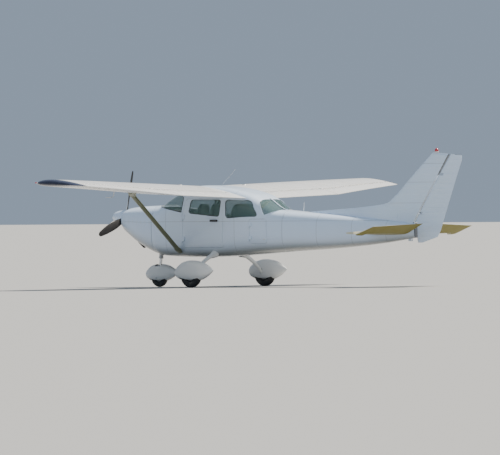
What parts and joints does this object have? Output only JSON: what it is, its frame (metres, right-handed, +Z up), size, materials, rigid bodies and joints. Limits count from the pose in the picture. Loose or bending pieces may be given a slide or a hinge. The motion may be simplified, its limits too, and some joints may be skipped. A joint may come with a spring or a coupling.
{
  "type": "light aircraft",
  "caption": "High-wing, strut-braced light aircraft with a nose propeller, a fixed nose-wheel undercarriage in wheel fairings, hinged doors and moving control surfaces.",
  "frame": {"origin": "on the ground, in the plane of symmetry, half way between the tip of the spinner and the rearmost edge of the rudder, with the aircraft parked on its wheels", "axes": "+X towards the tail, +Y towards the aircraft's own right wing tip, +Z up; the fuselage sits about 4.5 degrees nose up, as it parks"},
  "size_m": [8.279, 11, 2.68],
  "materials": {
    "white_skin": "gloss",
    "cabin_glass": "polished",
    "handle_dark": "satin",
    "firewall_steel": "satin",
    "engine_iron": "matte",
    "blade_black": "satin",
    "tip_navy": "gloss",
    "beacon_red": "gloss",
    "aerial_steel": "satin",
    "aerial_white": "gloss",
    "leg_white": "gloss",
    "leg_steel": "satin",
    "tyre_black": "matte",
    "rim_alloy": "satin",
    "seat_cloth": "matte",
    "panel_plastic": "matte"
  },
  "bodies": {
    "airframe": {"cabin_shell": "white_skin", "windshield": "cabin_glass", "rear_window": "cabin_glass", "side_window_right": "cabin_glass", "side_window_left": "cabin_glass", "firewall": "firewall_steel", "cowl_upper": "white_skin", "cowl_lower": "white_skin", "engine_block": "engine_iron", "wing_right": "white_skin", "wing_left": "white_skin", "wing_tip_right": "tip_navy", "wing_tip_left": "tip_navy", "wing_strut_right": "white_skin", "wing_strut_left": "white_skin", "tailcone": "white_skin", "tailplane_right": "white_skin", "tailplane_left": "white_skin", "fin": "white_skin", "beacon": "beacon_red", "aerial_whip": "aerial_steel", "aerial_rear": "aerial_white", "main_leg_right": "leg_white", "main_leg_left": "leg_white", "main_fairing_right": "white_skin", "main_fairing_left": "white_skin", "nose_leg": "leg_steel", "seat_left": "seat_cloth", "seat_right": "seat_cloth", "rear_bench": "seat_cloth", "instrument_panel": "panel_plastic"},
    "propeller_group": {"propeller": "blade_black", "spinner": "white_skin"},
    "right_door": {"door_right": "white_skin", "door_window_right": "cabin_glass", "door_handle_right": "handle_dark"},
    "left_door": {"door_left": "white_skin", "door_window_left": "cabin_glass", "door_handle_left": "handle_dark"},
    "baggage_hatch": {"baggage_door": "white_skin"},
    "right_flap": {"flap_right": "white_skin"},
    "left_flap": {"flap_left": "white_skin"},
    "right_aileron": {"aileron_right": "white_skin"},
    "left_aileron": {"aileron_left": "white_skin"},
    "elevator_surface": {"elevator": "white_skin"},
    "rudder_surface": {"rudder": "white_skin"},
    "nose_steering": {"nose_fork": "leg_steel", "nose_fairing": "white_skin"},
    "nose_wheel": {"nose_tyre": "tyre_black", "nose_rim": "rim_alloy"},
    "right_wheel": {"main_tyre_right": "tyre_black", "main_rim_right": "rim_alloy"},
    "left_wheel": {"main_tyre_left": "tyre_black", "main_rim_left": "rim_alloy"}
  },
  "joints": [
    {"name": "propeller_spin", "type": "hinge", "parent": "airframe", "child": "propeller_group", "pos_m": [-3.828, 0, 1.367], "axis": [0.9969, 0, -0.0785], "continuous": true},
    {"name": "right_door_hinge", "type": "hinge", "parent": "airframe", "child": "right_door", "pos_m": [-2.069, 0.573, 1.2], "axis": [0, 0, 1], "range_deg": [0, 70]},
    {"name": "left_door_hinge", "type": "hinge", "parent": "airframe", "child": "left_door", "pos_m": [-2.069, -0.573, 1.2], "axis": [0, 0, -1], "range_deg": [0, 70]},
    {"name": "baggage_door_hinge", "type": "hinge", "parent": "airframe", "child": "baggage_hatch", "pos_m": [-0.497, -0.546, 1.1], "axis": [0, 0, -1], "range_deg": [0, 90]},
    {"name": "right_flap_hinge", "type": "hinge", "parent": "airframe", "child": "right_flap", "pos_m": [-1.0354, 0.602, 1.6215], "axis": [0.0009, 0.9996, 0.0296], "range_deg": [0, 30]},
    {"name": "left_flap_hinge", "type": "hinge", "parent": "airframe", "child": "left_flap", "pos_m": [-1.0354, -0.602, 1.6215], "axis": [-0.0009, 0.9996, -0.0296], "range_deg": [0, 30]},
    {"name": "right_aileron_hinge", "type": "hinge", "parent": "airframe", "child": "right_aileron", "pos_m": [-0.9582, 2.706, 1.8603], "axis": [-0.0896, 0.9942, 0.0599], "range_deg": [-17.5, 17.5]},
    {"name": "left_aileron_hinge", "type": "hinge", "parent": "airframe", "child": "left_aileron", "pos_m": [-0.9582, -2.706, 1.8603], "axis": [0.0896, 0.9942, -0.0599], "range_deg": [-17.5, 17.5]},
    {"name": "elevator_hinge", "type": "hinge", "parent": "airframe", "child": "elevator_surface", "pos_m": [2.9, 0, 1.05], "axis": [0, 1, 0], "range_deg": [-8, 43]},
    {"name": "rudder_hinge", "type": "hinge", "parent": "airframe", "child": "rudder_surface", "pos_m": [3.067, 0, 1.231], "axis": [0.5201, 0, 0.8541], "range_deg": [-16, 16]},
    {"name": "nose_steer", "type": "hinge", "parent": "airframe", "child": "nose_steering", "pos_m": [-2.994, 0, 0.4], "axis": [0.0852, 0, 0.9964], "range_deg": [-10, 10]},
    {"name": "nose_wheel_spin", "type": "hinge", "parent": "nose_steering", "child": "nose_wheel", "pos_m": [-3.02, 0, 0.18], "axis": [0, 1, 0], "continuous": true},
    {"name": "right_wheel_spin", "type": "hinge", "parent": "airframe", "child": "right_wheel", "pos_m": [-1.37, 1.265, 0.222], "axis": [0, 1, 0], "continuous": true},
    {"name": "left_wheel_spin", "type": "hinge", "parent": "airframe", "child": "left_wheel", "pos_m": [-1.37, -1.265, 0.222], "axis": [0, 1, 0], "continuous": true}
  ],
  "couplings": [
    {"joint": "left_flap_hinge", "follows": "right_flap_hinge", "ratio": 1},
    {"joint": "left_aileron_hinge", "follows": "right_aileron_hinge", "ratio": -1}
  ]
}
